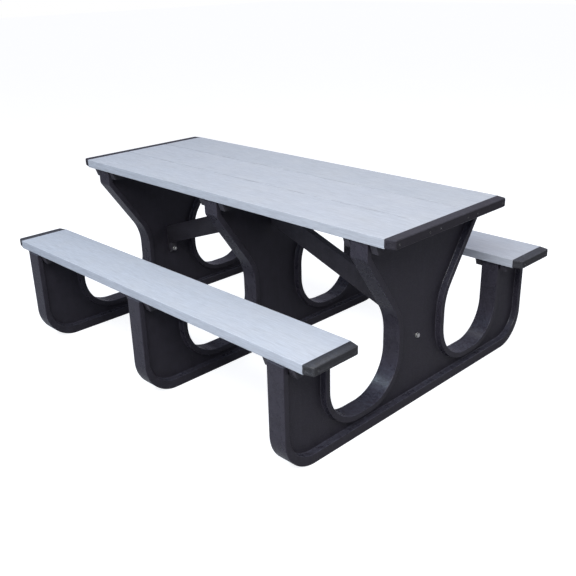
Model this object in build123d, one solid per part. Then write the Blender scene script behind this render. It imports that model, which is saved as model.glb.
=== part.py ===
from build123d import *
import os
from math import cos, radians, tan

# Picnic table in recycled plastic: three moulded frames carry a three-plank top and two
# one-plank seats, and two sloping braces hold the frames upright.
# Millimetres. +X runs along the planks, +Y from the front seat to the back seat, +Z up.
# The origin is on the floor, under the middle of the table.

# ---- overall sizes ---------------------------------------------------------------------
overall_length = 1830.0
table_height = 750.0
seat_height = 450.0
seat_offset = 606.0          # from the middle of the table to the middle of a seat plank
end_overhang = 151.0         # from the middle of an end frame to the end of the table

# ---- planks ----------------------------------------------------------------------------
plank_width = 224.0
plank_thickness = 35.0
plank_gap = 1.5
plank_edge_radius = 2.5
table_plank_count = 3

# ---- moulded frame ---------------------------------------------------------------------
frame_width = 76.0           # across the rim, along X
web_thickness = 25.0
rim_thickness = 22.0
base_rim_thickness = 38.0
seat_post_step = 9.0         # a seat post stands out this far past its plank
seat_post_inset = 17.0       # from the inner edge of a seat plank to its post
opening_floor = 92.0         # height of the runner under each opening
waist_half_width = 141.0
head_inset = 7.5             # from the edge of the table top to the outside of a head
head_shoulder_depth = 63.0   # from the underside of the top to the start of the slope
head_slope = 55.4            # degrees above level
foot_radius = 140.0
opening_outer_radius = 150.0
opening_inner_radius = 165.0
waist_radius = 200.0
shoulder_radius = 26.0
curve_spare = 1.0            # straight wall always left between two curves
rim_edge_radius = 3.0
root_radius = 4.0

# ---- battens under the planks ----------------------------------------------------------
batten_width = 60.0
batten_height = 36.0
batten_end_slant = 13.0      # how far the bottom of a batten end is set back
batten_setback = 1.0         # from the outside of the rim to the batten end
batten_edge_margin = 4.0     # from the outer edge of the seat plank to the batten end
notch_clearance = 6.0

# ---- end caps --------------------------------------------------------------------------
end_cap_width = 40.0
cap_end_taper = 10.0
cap_top_bevel = 3.0
cap_bottom_bevel = 5.0
cap_corner_bevel = 3.0
cap_recess_size = 17.0
cap_recess_depth = 2.5

# ---- braces ----------------------------------------------------------------------------
brace_thickness = 30.0
brace_depth = 85.0
brace_angle = 19.55          # degrees above level
brace_top_gap = 78.4         # from the table's underside to the top of the brace
brace_edge_radius = 2.0
block_length = 30.0
block_height = 36.0
brace_bolt_drop = 22.0       # from the brace to the bolt through its block

# ---- fasteners: shank diameter, head width, head height ---------------------------------
bolt_m10 = (10.0, 16.0, 6.4)
bolt_m8 = (8.0, 13.0, 5.3)
nut_height = {bolt_m10: 8.4, bolt_m8: 6.8}
washer_size = {bolt_m10: (20.0, 2.0), bolt_m8: (18.0, 1.6)}   # diameter, thickness
bolt_tail = 4.0              # thread that shows past the nut
hole_clearance = 1.0         # added to a shank diameter for its hole
thread_clearance = 0.2       # added to a shank diameter inside a nut or a pilot hole
wood_screw = (5.5, 11.0, 4.0)
small_screw = (4.5, 8.4, 3.0)
screw_tip = 5.0
screw_tip_radius = 0.4
screw_head_rounding = 1 / 3  # share of the head height
bolt_end_bevel = 1 / 10      # share of the shank diameter
hexagon_disc_width = 1.16    # share of the width across flats
hexagon_disc_bevel = 0.08    # share of the width across flats
socket_depth = 1.8
plank_screw_bite = 24.0      # depth of a batten screw in the plank
cap_screw_bite = 36.0        # depth of a cap screw in the plank end
brace_screw_bite = 32.0
pilot_spare = 2.0            # depth of a pilot hole past the screw's tip
plank_screw_spread = 60.0    # from the middle of a plank to a batten screw
cap_screw_spread = 82.0      # from the middle of a plank to a cap screw
cap_screw_sink = 0.5         # from the face of the cap to the screw head
counterbore_clearance = 0.6
brace_screw_spread = 10.5

# ---- places worked out from the sizes ---------------------------------------------------
table_underside = table_height - plank_thickness
seat_underside = seat_height - plank_thickness
plank_length = overall_length - 2 * end_cap_width
plank_pitch = plank_width + plank_gap
table_width = table_plank_count * plank_pitch - plank_gap
half_rim_width = frame_width / 2
half_web = web_thickness / 2
frame_spacing = overall_length / 2 - end_overhang
frame_half_span = seat_offset + plank_width / 2 + seat_post_step
post_inner = seat_offset - plank_width / 2 + seat_post_inset
head_half_width = table_width / 2 - head_inset
end_web_face = frame_spacing - half_web
brace_slope = tan(radians(brace_angle))
brace_rise_depth = brace_depth / cos(radians(brace_angle))
brace_high_top = table_underside - brace_top_gap
brace_low_height = brace_high_top - brace_rise_depth - (end_web_face - half_web) * brace_slope
low_bolt_height = brace_low_height - brace_bolt_drop
high_bolt_height = brace_high_top + brace_bolt_drop

frame_places = {"left": -frame_spacing, "middle": 0.0, "right": frame_spacing}
table_plank_places = {
    "front": -plank_pitch,
    "middle": 0.0,
    "back": plank_pitch,
}
seat_places = {"front": -seat_offset, "back": seat_offset}
table_bolt_places = [-plank_pitch / 2, plank_pitch / 2]


# ---- shared shapes ----------------------------------------------------------------------
def rounded_face(corners):
    """A face in the sketch plane from (across, up, corner radius) points."""
    outline = FilletPolyline(
        *[(across, up) for across, up, _ in corners],
        radius=[radius for _, _, radius in corners],
        close=True,
    )
    return make_face(outline)


def across_frame(face, start, end):
    """A (Y, Z) face made solid from x = start to x = end."""
    return Pos(start, 0, 0) * extrude(Plane.YZ * face, amount=end - start)


def across_brace(face, thickness):
    """An (X, Z) face made solid, centred on y = 0."""
    return extrude(Plane.XZ * face, amount=thickness / 2, both=True)


def rod_x(diameter, start, end):
    """A round bar along X, for shanks and holes."""
    return Pos(start, 0, 0) * extrude(Plane.YZ * Circle(diameter / 2), amount=end - start)


def rod_z(diameter, start, end):
    """A round bar along Z, for shanks and holes."""
    return Pos(0, 0, start) * extrude(Circle(diameter / 2), amount=end - start)


def swap_sides(shape):
    """The same shape on the other side of the YZ plane."""
    return mirror(shape, about=Plane.YZ)


def screw(size, length):
    """A round-headed screw. The underside of its head is at the origin, its shank goes up."""
    shank_diameter, head_diameter, head_height = size
    shank = rod_z(shank_diameter, 0, length - screw_tip)
    tip = Pos(0, 0, length - screw_tip / 2) * Cone(shank_diameter / 2, screw_tip_radius, screw_tip)
    head = rod_z(head_diameter, -head_height, 0)
    head = fillet(head.edges().sort_by(Axis.Z)[0], head_height * screw_head_rounding)
    socket = extrude(RegularPolygon(shank_diameter / 2, 6), amount=socket_depth)
    return shank + tip + head - Pos(0, 0, -head_height) * socket


def bolt_set(size, grip):
    """A bolt along +X through a stack that is grip thick and starts at x = 0.

    Returns the bolt, its two washers and its nut.
    """
    shank_diameter, across_flats, head_height = size
    washer_diameter, washer_thickness = washer_size[size]
    hexagon = Plane.YZ * RegularPolygon(across_flats / 2, 6, major_radius=False)
    bore = rod_x(shank_diameter + thread_clearance, 0, nut_height[size])
    nut_place = grip + washer_thickness
    shank_end = nut_place + nut_height[size] + bolt_tail
    shank = rod_x(shank_diameter, -washer_thickness, shank_end)
    shank = chamfer(shank.edges().sort_by(Axis.X)[-1], shank_diameter * bolt_end_bevel)
    head = Pos(-washer_thickness, 0, 0) * extrude(hexagon, amount=-head_height)
    head = head & Pos(-washer_thickness - head_height, 0, 0) * hex_dome(across_flats, head_height)
    nut = extrude(hexagon, amount=nut_height[size]) - bore
    nut = nut & swap_sides(Pos(-nut_height[size], 0, 0) * hex_dome(across_flats, nut_height[size]))
    ring = rod_x(washer_diameter, 0, washer_thickness)
    ring = ring - rod_x(shank_diameter + hole_clearance / 2, 0, washer_thickness)
    washers = [Pos(-washer_thickness, 0, 0) * ring, Pos(grip, 0, 0) * ring]
    return shank + head, washers, Pos(nut_place, 0, 0) * nut


def hex_dome(across_flats, height):
    """A round-edged disc from x = 0 to height, which takes the corners off a hexagon."""
    disc = rod_x(across_flats * hexagon_disc_width, 0, height)
    return chamfer(disc.edges().sort_by(Axis.X)[0], across_flats * hexagon_disc_bevel)


# ---- moulded frames ---------------------------------------------------------------------
def head_slope_height(across):
    """Height of the sloping side of a frame's head."""
    height = table_underside - head_shoulder_depth
    return height - (head_half_width - across) * tan(radians(head_slope))


def waist_curve_share():
    """How much of their radii the opening and the waist can have on the wall between them."""
    wall = head_slope_height(waist_half_width) - opening_floor - curve_spare
    waist_reach = waist_radius * tan(radians(90 - head_slope) / 2)
    return min(1, wall / (opening_inner_radius + waist_reach))


def frame_outline(inset, base, top_rise):
    """The frame seen along X, drawn in by inset at the sides and by base at the floor.

    The flat tops of the head and of the seat posts are raised by top_rise.
    """
    def slope_height(across):
        return head_slope_height(across) + inset / cos(radians(head_slope))

    share = waist_curve_share()
    waist = waist_half_width - inset
    head = head_half_width - inset
    half = [
        (frame_half_span - inset, base, foot_radius - inset),
        (frame_half_span - inset, seat_underside + top_rise, 0),
        (post_inner + inset, seat_underside + top_rise, 0),
        (post_inner + inset, opening_floor - inset, opening_outer_radius + inset),
        (waist, opening_floor - inset, share * opening_inner_radius + inset),
        (waist, slope_height(waist), share * waist_radius + inset),
        (head, slope_height(head), shoulder_radius - inset),
        (head, table_underside + top_rise, 0),
    ]
    other_half = [(-across, up, radius) for across, up, radius in reversed(half)]
    return rounded_face(half + other_half)


def batten_bolt_holes():
    """Holes through a frame's web for the bolts that hold its battens."""
    bolt_diameter = bolt_m8[0]
    hole = rod_x(bolt_diameter + hole_clearance, -frame_width, frame_width)
    places = [(across, table_underside) for across in table_bolt_places]
    places += [(across, seat_underside) for across in seat_places.values()]
    return [Pos(0, across, top - batten_height / 2) * hole for across, top in places]


def moulded_frame(brace_bolt_height):
    """One frame, centred on x = 0: a web with a rim round its outline on both faces."""
    body = across_frame(frame_outline(0, 0, 0), -half_rim_width, half_rim_width)
    recess = frame_outline(rim_thickness, base_rim_thickness, rim_thickness)
    pocket = across_frame(recess, half_web, frame_width)
    pocket = fillet(pocket.faces().sort_by(Axis.X)[0].edges(), root_radius)
    body = body - pocket - swap_sides(pocket)
    for side in (-half_rim_width, half_rim_width):
        edges = body.edges().filter_by_position(Axis.X, side, side)
        body = fillet(edges, rim_edge_radius)
    for hole in batten_bolt_holes():
        body = body - hole
    brace_hole = rod_x(bolt_m10[0] + hole_clearance, -frame_width, frame_width)
    return body - Pos(0, 0, brace_bolt_height) * brace_hole


# ---- battens ----------------------------------------------------------------------------
def batten(start, end, top, notches, screw_places, bolt_places):
    """A batten on the +X side of a frame's web, from y = start to y = end.

    Its ends slant, and it is notched round each rim in notches, given as (from, to) in Y.
    """
    slant = batten_end_slant
    bottom = top - batten_height
    profile = rounded_face([
        (start, top, 0),
        (start + slant, bottom, 0),
        (end - slant, bottom, 0),
        (end, top, 0),
    ])
    body = across_frame(profile, half_web, half_web + batten_width)
    notch_reach = half_rim_width + notch_clearance
    for notch_start, notch_end in notches:
        width = notch_end - notch_start
        notch = Box(notch_reach, width, batten_height, align=(Align.MIN, Align.MIN, Align.MIN))
        body = body - Pos(0, notch_start, bottom) * notch
    for place in screw_places:
        hole = rod_z(wood_screw[0] + hole_clearance, bottom, top)
        body = body - Pos(batten_middle, place, 0) * hole
    for place in bolt_places:
        hole = rod_x(bolt_m8[0] + hole_clearance, 0, frame_width)
        body = body - Pos(0, place, bottom + batten_height / 2) * hole
    return body


def table_batten():
    """The batten under the table top, on the +X side of a frame."""
    end = head_half_width - batten_setback
    rim = head_half_width - rim_thickness - notch_clearance
    notches = [(-head_half_width, -rim), (rim, head_half_width)]
    return batten(-end, end, table_underside, notches, table_screw_places, table_bolt_places)


def seat_batten():
    """The batten under the back seat, on the +X side of a frame."""
    start = post_inner + batten_setback
    end = seat_offset + plank_width / 2 - batten_edge_margin
    inner_rim = post_inner + rim_thickness + notch_clearance
    outer_rim = frame_half_span - rim_thickness - notch_clearance
    notches = [(post_inner, inner_rim), (outer_rim, frame_half_span)]
    return batten(start, end, seat_underside, notches, seat_screw_places, [seat_offset])


batten_middle = half_web + batten_width / 2
screw_pair = (-plank_screw_spread, plank_screw_spread)
table_screw_places = [
    place + spread for place in table_plank_places.values() for spread in screw_pair
]
seat_screw_places = [seat_offset + spread for spread in screw_pair]


# ---- planks -----------------------------------------------------------------------------
def plank(top):
    """A plank along X with its middle at y = 0, drilled for its batten and cap screws."""
    centre_height = top - plank_thickness / 2
    body = Pos(0, 0, centre_height) * Box(plank_length, plank_width, plank_thickness)
    body = fillet(body.edges().filter_by(Axis.X), plank_edge_radius)
    pilot = wood_screw[0] + thread_clearance
    underside = top - plank_thickness
    batten_pilot = rod_z(pilot, underside, underside + plank_screw_bite + pilot_spare)
    for frame_place in frame_places.values():
        for side in (-batten_middle, batten_middle):
            for spread in screw_pair:
                body = body - Pos(frame_place + side, spread, 0) * batten_pilot
    end = plank_length / 2
    end_pilot = rod_x(pilot, end - cap_screw_bite - pilot_spare, end)
    for across in (-cap_screw_spread, cap_screw_spread):
        drill = Pos(0, across, centre_height) * end_pilot
        body = body - drill - swap_sides(drill)
    return body


# ---- end caps ---------------------------------------------------------------------------
def end_cap(width, top, screw_places):
    """A cap on the +X end of the planks, from their ends to the end of the table."""
    inner = plank_length / 2
    outer = overall_length / 2
    half = width / 2
    plan = Polygon(
        (inner, -half),
        (outer, -half + cap_end_taper),
        (outer, half - cap_end_taper),
        (inner, half),
        align=None,
    )
    bottom = top - plank_thickness
    body = Pos(0, 0, bottom) * extrude(plan, amount=plank_thickness)
    corners = body.edges().filter_by(Axis.Z).sort_by(Axis.X)[-2:]
    body = chamfer(corners, cap_corner_bevel)
    for height, bevel in ((top, cap_top_bevel), (bottom, cap_bottom_bevel)):
        edges = body.edges().filter_by_position(Axis.Z, height, height).sort_by(Axis.X)[1:]
        body = chamfer(edges, bevel)
    middle_height = bottom + plank_thickness / 2
    for side in (-1, 1):
        face_middle = (inner + end_cap_width / 2, side * (half - cap_end_taper / 2), middle_height)
        outward = (cap_end_taper, side * end_cap_width, 0)
        end_plane = Plane(origin=face_middle, x_dir=(0, 0, 1), z_dir=outward)
        square = end_plane * Rectangle(cap_recess_size, cap_recess_size)
        body = body - extrude(square, amount=-cap_recess_depth)
    counterbore_depth = wood_screw[2] + cap_screw_sink
    for place in screw_places:
        shank_hole = rod_x(wood_screw[0] + hole_clearance, inner, outer)
        head_hole = rod_x(wood_screw[1] + counterbore_clearance, outer - counterbore_depth, outer)
        body = body - Pos(0, place, middle_height) * (shank_hole + head_hole)
    return body


table_cap_screw_places = [
    place + spread
    for place in table_plank_places.values()
    for spread in (-cap_screw_spread, cap_screw_spread)
]
seat_cap_screw_places = [-cap_screw_spread, cap_screw_spread]


# ---- braces -----------------------------------------------------------------------------
def brace_underside(x):
    """Height of the right brace's underside."""
    return brace_low_height + (end_web_face - x) * brace_slope


def brace():
    """The brace from the right frame up to the middle frame, on edge, with upright ends."""
    profile = rounded_face([
        (half_web, brace_underside(half_web), 0),
        (end_web_face, brace_underside(end_web_face), 0),
        (end_web_face, brace_underside(end_web_face) + brace_rise_depth, 0),
        (half_web, brace_underside(half_web) + brace_rise_depth, 0),
    ])
    body = across_brace(profile, brace_thickness)
    long_edges = body.edges().filter_by(GeomType.LINE).sort_by(Edge.length)[-4:]
    body = fillet(long_edges, brace_edge_radius)
    for hole in brace_screw_holes(thread_clearance, pilot_spare):
        body = body - hole
    return body


def brace_block():
    """The block under the right brace's lower end, against the right frame's web."""
    inner = end_web_face - block_length
    bottom = brace_low_height - block_height
    profile = rounded_face([
        (inner, bottom, 0),
        (end_web_face, bottom, 0),
        (end_web_face, brace_underside(end_web_face), 0),
        (inner, brace_underside(inner), 0),
    ])
    body = across_brace(profile, brace_thickness)
    bolt_hole = rod_x(bolt_m10[0] + hole_clearance, inner, end_web_face)
    body = body - Pos(0, 0, low_bolt_height) * bolt_hole
    for hole in low_brace_screw_holes(hole_clearance, 0):
        body = body - hole
    return body


brace_screw_x = end_web_face - block_length / 2
brace_screw_start = brace_low_height - block_height
brace_screw_length = (
    brace_underside(brace_screw_x) - brace_screw_start + brace_screw_bite
)
brace_centre = (
    (half_web + end_web_face) / 2,
    0,
    (brace_low_height + brace_high_top) / 2,
)


def turn_about_brace_middle(shape):
    """Half a turn about the brace's middle, which takes its lower end to its upper end."""
    x, y, z = brace_centre
    return Pos(x, y, z) * Rot(0, 180, 0) * Pos(-x, -y, -z) * shape


def low_brace_screw_holes(clearance, spare):
    """Holes for the two screws that go up through the lower block into the right brace."""
    end = brace_screw_start + brace_screw_length + spare
    hole = rod_z(small_screw[0] + clearance, brace_screw_start, end)
    return [
        Pos(brace_screw_x, across, 0) * hole
        for across in (-brace_screw_spread, brace_screw_spread)
    ]


def brace_screw_holes(clearance, spare):
    """The screw holes of both blocks of the right brace."""
    low = low_brace_screw_holes(clearance, spare)
    return low + [turn_about_brace_middle(hole) for hole in low]


# ---- fasteners in place -----------------------------------------------------------------
def table_plank_screws():
    """Screws up through the table battens."""
    one = screw(wood_screw, batten_height + plank_screw_bite)
    return [
        Pos(place + side, across, table_underside - batten_height) * one
        for place in frame_places.values()
        for side in (-batten_middle, batten_middle)
        for across in table_screw_places
    ]


def seat_plank_screws():
    """Screws up through the seat battens."""
    one = screw(wood_screw, batten_height + plank_screw_bite)
    return [
        Pos(place + side, end * across, seat_underside - batten_height) * one
        for place in frame_places.values()
        for side in (-batten_middle, batten_middle)
        for across in seat_screw_places
        for end in (-1, 1)
    ]


def cap_screws(places, top):
    """Screws through the end caps at both ends, at each y in places."""
    length = end_cap_width - wood_screw[2] - cap_screw_sink + cap_screw_bite
    seat = overall_length / 2 - wood_screw[2] - cap_screw_sink
    right = Pos(seat, 0, top - plank_thickness / 2) * Rot(0, -90, 0) * screw(wood_screw, length)
    left = swap_sides(right)
    return [Pos(0, place, 0) * one for place in places for one in (left, right)]


def brace_screws():
    """Screws through the four blocks into the two braces."""
    one = screw(small_screw, brace_screw_length)
    low = [
        Pos(brace_screw_x, across, brace_screw_start) * one
        for across in (-brace_screw_spread, brace_screw_spread)
    ]
    right = low + [turn_about_brace_middle(item) for item in low]
    return right + [swap_sides(item) for item in right]


def batten_bolt_sets():
    """Bolts through every pair of battens and the web between them."""
    grip = web_thickness + 2 * batten_width
    bolt, washers, nut = bolt_set(bolt_m8, grip)
    bolts = []
    rings = []
    nuts = []
    places = [(across, table_underside) for across in table_bolt_places]
    places += [(across, seat_underside) for across in seat_places.values()]
    for frame_place in frame_places.values():
        for across, top in places:
            spot = Pos(frame_place - grip / 2, across, top - batten_height / 2)
            bolts.append(spot * bolt)
            rings += [spot * washer for washer in washers]
            nuts.append(spot * nut)
    return bolts, rings, nuts


def brace_bolt_sets():
    """Bolts through the end webs and the lower blocks, and through both upper blocks."""
    low_bolt, low_washers, low_nut = bolt_set(bolt_m10, web_thickness + block_length)
    from_left = Pos(-frame_spacing - half_web, 0, low_bolt_height)
    high_grip = web_thickness + 2 * block_length
    high_bolt, high_washers, high_nut = bolt_set(bolt_m10, high_grip)
    middle = Pos(-high_grip / 2, 0, high_bolt_height)
    low_bolts = [from_left * low_bolt]
    washers = [from_left * item for item in low_washers]
    nuts = [from_left * low_nut]
    low_bolts += [swap_sides(item) for item in low_bolts]
    washers += [swap_sides(item) for item in washers]
    nuts += [swap_sides(item) for item in nuts]
    washers += [middle * item for item in high_washers]
    nuts.append(middle * high_nut)
    return low_bolts, middle * high_bolt, washers, nuts


# ---- the whole table --------------------------------------------------------------------
def frame_nodes():
    end_frame = moulded_frame(low_bolt_height)
    middle_frame = moulded_frame(high_bolt_height)
    return {
        "left_frame": Pos(frame_places["left"], 0, 0) * end_frame,
        "middle_frame": middle_frame,
        "right_frame": Pos(frame_places["right"], 0, 0) * end_frame,
    }


def plank_nodes():
    nodes = {}
    table_plank = plank(table_height)
    seat_plank = plank(seat_height)
    for name, place in table_plank_places.items():
        nodes[f"table_plank_{name}"] = Pos(0, place, 0) * table_plank
    for name, place in seat_places.items():
        nodes[f"{name}_seat_plank"] = Pos(0, place, 0) * seat_plank
    return nodes


def cap_nodes():
    nodes = {}
    table_cap = end_cap(table_width, table_height, table_cap_screw_places)
    nodes["table_end_cap_right"] = table_cap
    nodes["table_end_cap_left"] = swap_sides(table_cap)
    seat_cap = end_cap(plank_width, seat_height, seat_cap_screw_places)
    for name, place in seat_places.items():
        nodes[f"{name}_seat_end_cap_right"] = Pos(0, place, 0) * seat_cap
        nodes[f"{name}_seat_end_cap_left"] = Pos(0, place, 0) * swap_sides(seat_cap)
    return nodes


def batten_nodes():
    nodes = {}
    top_batten = table_batten()
    back_batten = seat_batten()
    front_batten = mirror(back_batten, about=Plane.XZ)
    shapes = {"table": top_batten, "front_seat": front_batten, "back_seat": back_batten}
    for frame_name, frame_place in frame_places.items():
        for shape_name, shape in shapes.items():
            base = f"{frame_name}_frame_{shape_name}_batten"
            nodes[f"{base}_right"] = Pos(frame_place, 0, 0) * shape
            nodes[f"{base}_left"] = Pos(frame_place, 0, 0) * swap_sides(shape)
    return nodes


def brace_nodes():
    right = {
        "brace": brace(),
        "brace_foot_block": brace_block(),
        "brace_head_block": turn_about_brace_middle(brace_block()),
    }
    nodes = {}
    for name, shape in right.items():
        nodes[f"{name}_right"] = shape
        nodes[f"{name}_left"] = swap_sides(shape)
    return nodes


def fastener_nodes():
    batten_bolts, batten_washers, batten_nuts = batten_bolt_sets()
    brace_foot_bolts, brace_head_bolt, brace_washers, brace_nuts = brace_bolt_sets()
    seat_cap_places = [
        seat + place for seat in seat_places.values() for place in seat_cap_screw_places
    ]
    groups = {
        "batten_bolts": batten_bolts,
        "batten_bolt_washers": batten_washers,
        "batten_bolt_nuts": batten_nuts,
        "brace_foot_bolts": brace_foot_bolts,
        "brace_head_bolt": [brace_head_bolt],
        "brace_bolt_washers": brace_washers,
        "brace_bolt_nuts": brace_nuts,
        "brace_screws": brace_screws(),
        "table_plank_screws": table_plank_screws(),
        "seat_plank_screws": seat_plank_screws(),
        "table_cap_screws": cap_screws(table_cap_screw_places, table_height),
        "seat_cap_screws": cap_screws(seat_cap_places, seat_height),
    }
    return {name: Compound(children=pieces) for name, pieces in groups.items()}


def main():
    os.makedirs("parts", exist_ok=True)
    nodes = {}
    for group in (frame_nodes, plank_nodes, cap_nodes, batten_nodes, brace_nodes, fastener_nodes):
        nodes.update(group())
    for name, shape in nodes.items():
        export_step(shape, f"parts/{name}.step")


main()
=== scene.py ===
import math

import bmesh
import bpy
from mathutils import Matrix, Vector


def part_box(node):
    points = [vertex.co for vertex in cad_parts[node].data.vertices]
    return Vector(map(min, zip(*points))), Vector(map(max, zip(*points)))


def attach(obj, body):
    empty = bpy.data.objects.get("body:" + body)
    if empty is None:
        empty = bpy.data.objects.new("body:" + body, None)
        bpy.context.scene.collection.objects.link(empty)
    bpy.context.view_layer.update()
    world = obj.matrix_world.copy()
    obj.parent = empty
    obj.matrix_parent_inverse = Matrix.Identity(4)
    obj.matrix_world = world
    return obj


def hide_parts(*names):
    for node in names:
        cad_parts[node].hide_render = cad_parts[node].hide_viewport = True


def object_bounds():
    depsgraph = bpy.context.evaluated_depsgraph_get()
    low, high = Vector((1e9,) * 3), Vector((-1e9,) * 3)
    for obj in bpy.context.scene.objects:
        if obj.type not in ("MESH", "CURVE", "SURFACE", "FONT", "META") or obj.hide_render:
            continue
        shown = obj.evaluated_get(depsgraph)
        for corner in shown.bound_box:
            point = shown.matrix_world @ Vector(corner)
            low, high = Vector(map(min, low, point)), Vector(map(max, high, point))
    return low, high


# Picnic table in recycled plastic. Metres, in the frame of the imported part.
# Every piece is modelled round the boxes of the part's own nodes.

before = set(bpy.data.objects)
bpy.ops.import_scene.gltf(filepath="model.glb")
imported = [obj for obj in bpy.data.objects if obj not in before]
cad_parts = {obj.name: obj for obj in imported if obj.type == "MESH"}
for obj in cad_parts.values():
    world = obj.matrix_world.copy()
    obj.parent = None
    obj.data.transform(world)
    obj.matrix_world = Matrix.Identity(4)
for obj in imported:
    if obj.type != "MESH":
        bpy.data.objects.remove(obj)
cad_low, cad_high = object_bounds()

# ---- sizes of the pieces ------------------------------------------------------------------
MM = 0.001
overrun = 1 * MM                 # how far a cutter or a joined end goes past a face
same_place = 0.01 * MM
merge_reach = 0.005 * MM
rim = 22 * MM                    # thickness of the rim round a frame
base_rim = 38 * MM               # the same under the frame
half_web = 12.5 * MM
runner_top = 92 * MM             # floor of the openings
waist = 141 * MM
shoulder_depth = 63 * MM
head_slope = math.radians(55.4)
foot_radius = 140 * MM
outer_opening_radius = 150 * MM
inner_opening_radius = 165 * MM
waist_radius = 200 * MM
shoulder_radius = 26 * MM
rim_rounding = 3 * MM
web_rounding = 4 * MM
batten_inset = 1 * MM            # from the edge of a frame to the end of its batten
curve_steps, slight_curve_steps = 28, 12
trim_reach = 1                   # past the ends of every frame, in metres

plank_edge_radius = 2.5 * MM
plank_cuts_along, plank_cuts_across = 120, 90
plank_middle_reach = 5 * MM      # finds the edges that cross the middle of a plank

cap_taper = 10 * MM
cap_corner = 3 * MM
cap_top_bevel, cap_foot_bevel = 3 * MM, 5 * MM
cap_rounding = 0.5 * MM
cap_recess = 17 * MM
cap_recess_margin = 2 * MM
cap_recess_depth = 2.5 * MM
cap_screw_spread = 82 * MM
cap_hole_radius, cap_hole_depth = 5.8 * MM, 4.5 * MM

notch_clearance = 6 * MM
batten_slant = 13 * MM
batten_rounding = 1.2 * MM
brace_depth = 85 * MM
brace_angle = math.radians(19.55)
brace_edge_radius = 2 * MM
brace_rounding, block_rounding = 0.6 * MM, 1 * MM

# bolts and screws: shank, head width, head height; washers: width, thickness
m8, m8_nut_height, m8_washer = (8 * MM, 13 * MM, 5.3 * MM), 6.8 * MM, (18 * MM, 1.6 * MM)
m10, m10_nut_height, m10_washer = (10 * MM, 16 * MM, 6.4 * MM), 8.4 * MM, (20 * MM, 2 * MM)
hexagon_rounding = 0.25 * MM
washer_play, nut_play = 0.25 * MM, 0.1 * MM    # round the shank, on each side
bolt_tail = 4 * MM               # past the nut
thread_turns = 8
thread_root, bolt_tip = 0.86, 0.84   # shares of the shank
plank_screw, plank_screw_length = (5.5 * MM, 11 * MM, 4 * MM), 60 * MM
plank_screw_spread = 60 * MM
cap_screw_length = 71.5 * MM
block_screw, block_screw_bite = (4.5 * MM, 8.4 * MM, 3 * MM), 32 * MM
block_screw_spread = 10.5 * MM
screw_tip, screw_tip_width = 5 * MM, 0.15
socket_depth = 1.8 * MM

frames = ("left", "middle", "right")


# ---- modelling helpers --------------------------------------------------------------------
def clear_selection():
    if bpy.context.object and bpy.context.object.mode != "OBJECT":
        bpy.ops.object.mode_set(mode="OBJECT")
    bpy.ops.object.select_all(action="DESELECT")


def make_active(piece):
    clear_selection()
    piece.select_set(True)
    bpy.context.view_layer.objects.active = piece


def edit_piece(mode="FACE"):
    bpy.ops.object.mode_set(mode="EDIT")
    bpy.ops.mesh.select_mode(type=mode)
    bpy.ops.mesh.select_all(action="DESELECT")


def leave_edit():
    bpy.ops.object.mode_set(mode="OBJECT")


def pick(kind, wanted, sharp=False):
    """Selects the vertices, edges or faces for which wanted(place, direction) holds."""
    bpy.ops.mesh.select_mode(type={"faces": "FACE", "edges": "EDGE", "points": "VERT"}[kind])
    bpy.ops.mesh.select_all(action="DESELECT")
    mesh = bmesh.from_edit_mesh(bpy.context.object.data)
    mesh.normal_update()
    if kind == "faces":
        for face in mesh.faces:
            face.select_set(bool(wanted(face.calc_center_median(), face.normal)))
    elif kind == "edges":
        for edge in mesh.edges:
            start, end = (vertex.co for vertex in edge.verts)
            turned = not sharp or edge.calc_face_angle(0) > math.radians(45)
            middle, along = (start + end) / 2, (end - start).normalized()
            edge.select_set(bool(turned and wanted(middle, along)))
    else:
        for vertex in mesh.verts:
            vertex.select_set(bool(wanted(vertex.co, vertex.normal)))
    mesh.select_flush_mode()
    bmesh.update_edit_mesh(bpy.context.object.data)


def apply_place(piece):
    bpy.ops.object.transform_apply(location=True, rotation=True, scale=True)
    return piece


def name_piece(name):
    piece = bpy.context.object
    piece.name = name
    piece.data.name = name
    return piece


def start_block(name, low, high):
    """A cube added at its size and place."""
    clear_selection()
    low, high = Vector(low), Vector(high)
    bpy.ops.mesh.primitive_cube_add(size=1, location=(low + high) / 2, scale=high - low)
    return apply_place(name_piece(name))


def start_bar(name, radius, start, end, sides=32, axis="x"):
    """A cylinder along X or Z, from start to end on its axis."""
    clear_selection()
    middle = (start + end) / 2
    place, turn = (0, 0, middle), (0, 0, 0)
    if axis == "x":
        place, turn = (middle, 0, 0), (0, math.pi / 2, 0)
    bpy.ops.mesh.primitive_cylinder_add(
        vertices=sides, radius=radius, depth=end - start, location=place, rotation=turn
    )
    return apply_place(name_piece(name))


def start_point(place):
    """Adds one selected point to the mesh that is being edited."""
    bpy.ops.mesh.select_all(action="DESELECT")
    bpy.ops.mesh.primitive_plane_add(size=1 * MM)
    bpy.ops.mesh.merge(type="CENTER")
    bpy.ops.transform.translate(value=place)


def modifier(piece, kind, **settings):
    """Adds a modifier and applies it."""
    made = piece.modifiers.new(kind.lower(), kind)
    for setting, value in settings.items():
        setattr(made, setting, value)
    bpy.context.view_layer.objects.active = piece
    bpy.ops.object.modifier_apply(modifier=made.name)


def soften(piece, width, segments=2, angle=30):
    """Rounds every sharp edge and shades the piece smooth, with its flats kept flat."""
    modifier(piece, "BEVEL", width=width, segments=segments, limit_method="ANGLE",
             angle_limit=math.radians(angle), use_clamp_overlap=True)
    finish_shading(piece)


def finish_shading(piece, angle=35):
    make_active(piece)
    bpy.ops.object.shade_smooth_by_angle(angle=math.radians(angle))
    modifier(piece, "WEIGHTED_NORMAL", keep_sharp=True, weight=80)


def cut_with(piece, cutter, operation="DIFFERENCE"):
    modifier(piece, "BOOLEAN", object=cutter, operation=operation, solver="EXACT")
    bpy.data.objects.remove(cutter)


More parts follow.
